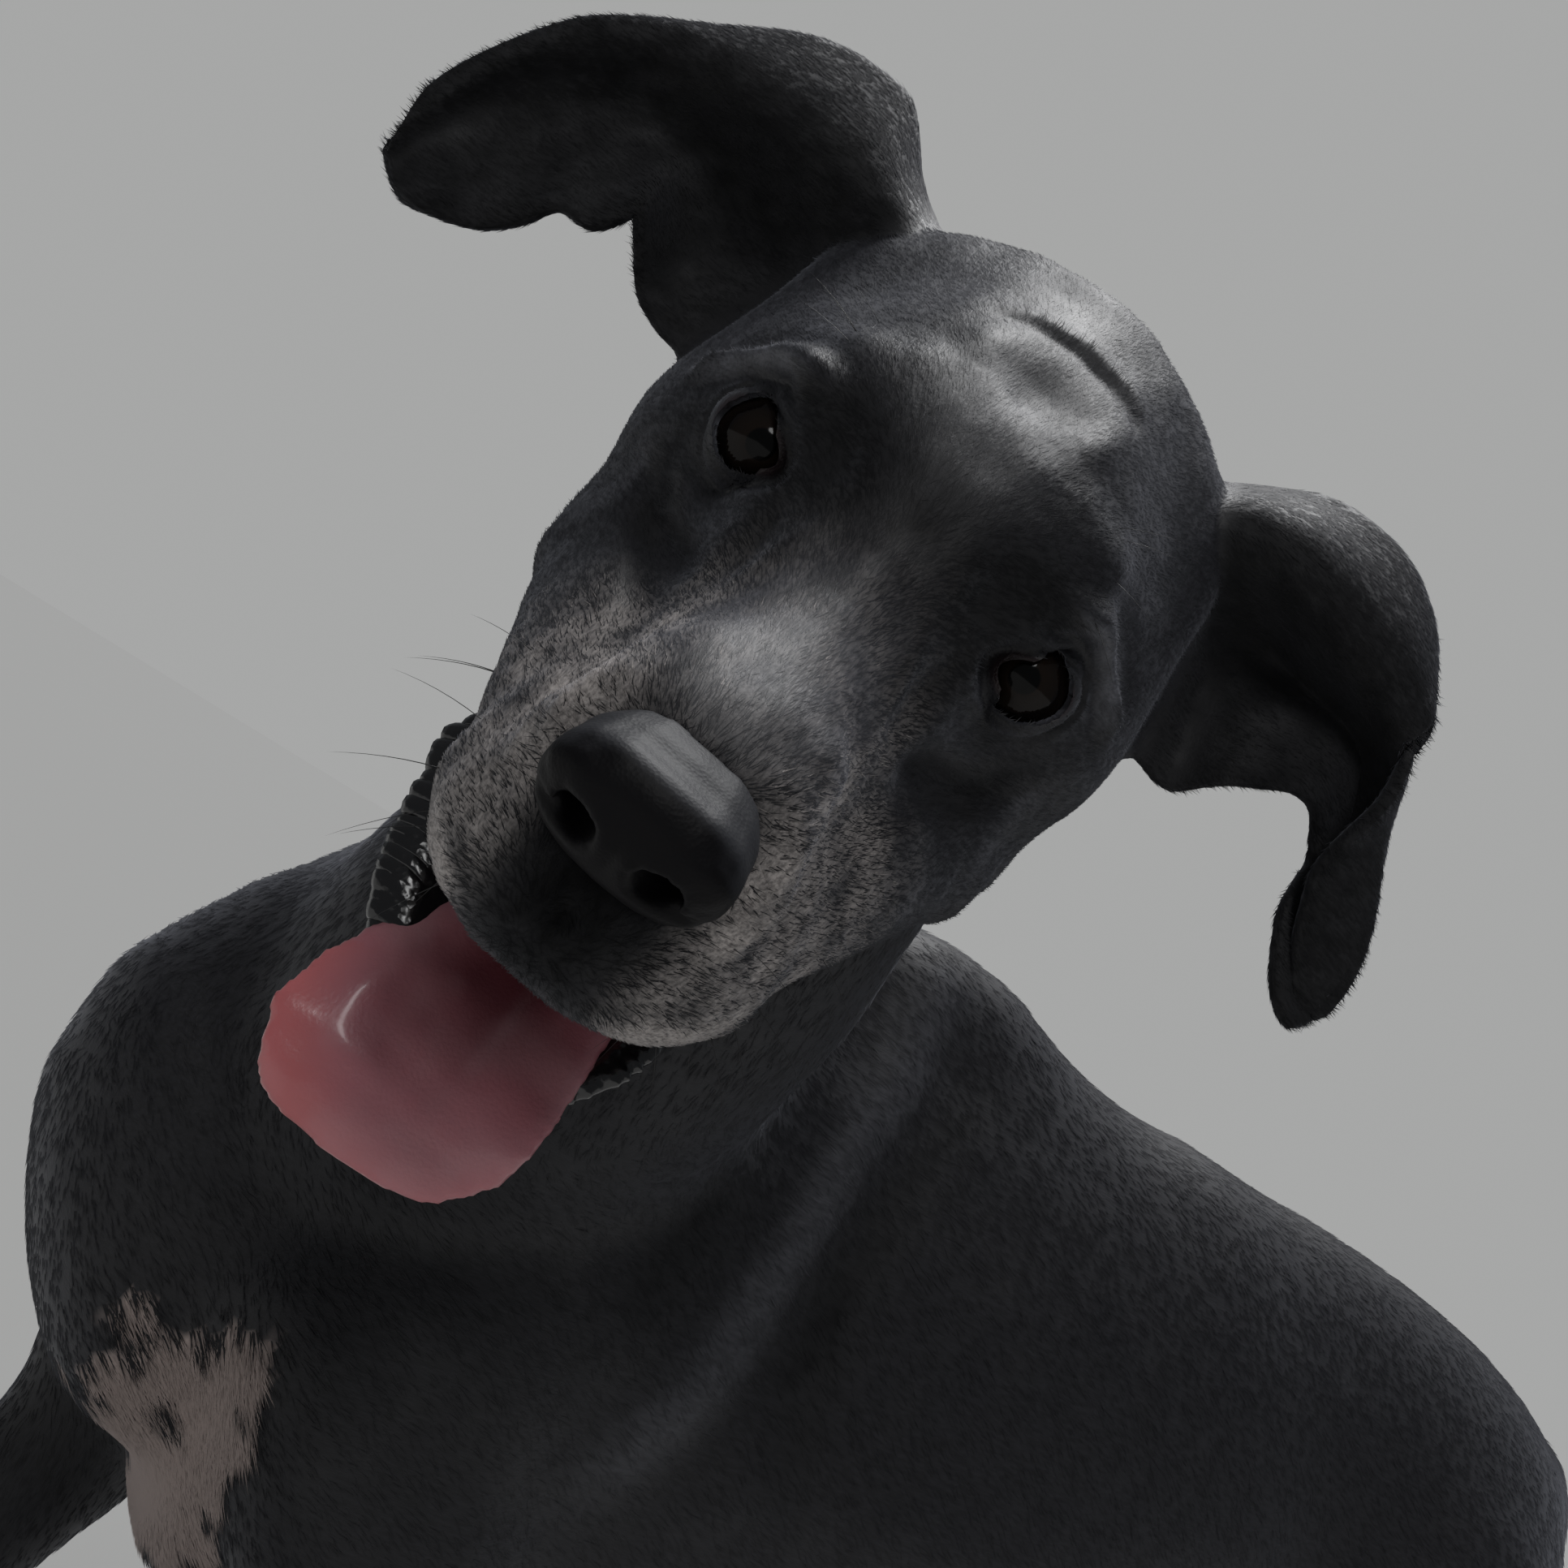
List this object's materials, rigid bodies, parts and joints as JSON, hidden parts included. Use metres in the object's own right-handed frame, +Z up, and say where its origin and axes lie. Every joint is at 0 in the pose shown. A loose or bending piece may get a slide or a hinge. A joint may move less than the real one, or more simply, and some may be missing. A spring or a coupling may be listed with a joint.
{
  "type": "great dane",
  "caption": "Life-size standing great dane, short black coat, head turned and tilted to its left, ears flung out, mouth open with the tongue out.",
  "frame": {"origin": "middle of the bounding box at floor level, under the four paws", "axes": "+X forward along the trunk, +Y to the animal's left, +Z up"},
  "size_m": [1.0976, 0.562, 1.0003],
  "materials": {
    "coat": "short glossy fur",
    "eye": "wet, clear",
    "nose": "moist, fine grained",
    "tongue": "wet, finely rough",
    "claw": "horn"
  },
  "bodies": {
    "root": {"head": "coat", "neck": "coat", "torso": "coat", "tail": "coat", "foreleg_left": "coat", "foreleg_right": "coat", "hindleg_left": "coat", "hindleg_right": "coat", "ear_left": "coat", "ear_right": "coat", "eye_left": "eye", "eye_right": "eye", "nose": "nose", "lower_jaw": "coat", "tongue": "tongue", "claw_fore_left_1": "claw", "claw_fore_left_2": "claw", "claw_fore_left_3": "claw", "claw_fore_left_4": "claw", "claw_hind_left_1": "claw", "claw_hind_left_2": "claw", "claw_hind_left_3": "claw", "claw_hind_left_4": "claw", "claw_fore_right_1": "claw", "claw_fore_right_2": "claw", "claw_fore_right_3": "claw", "claw_fore_right_4": "claw", "claw_hind_right_1": "claw", "claw_hind_right_2": "claw", "claw_hind_right_3": "claw", "claw_hind_right_4": "claw"}
  },
  "joints": []
}
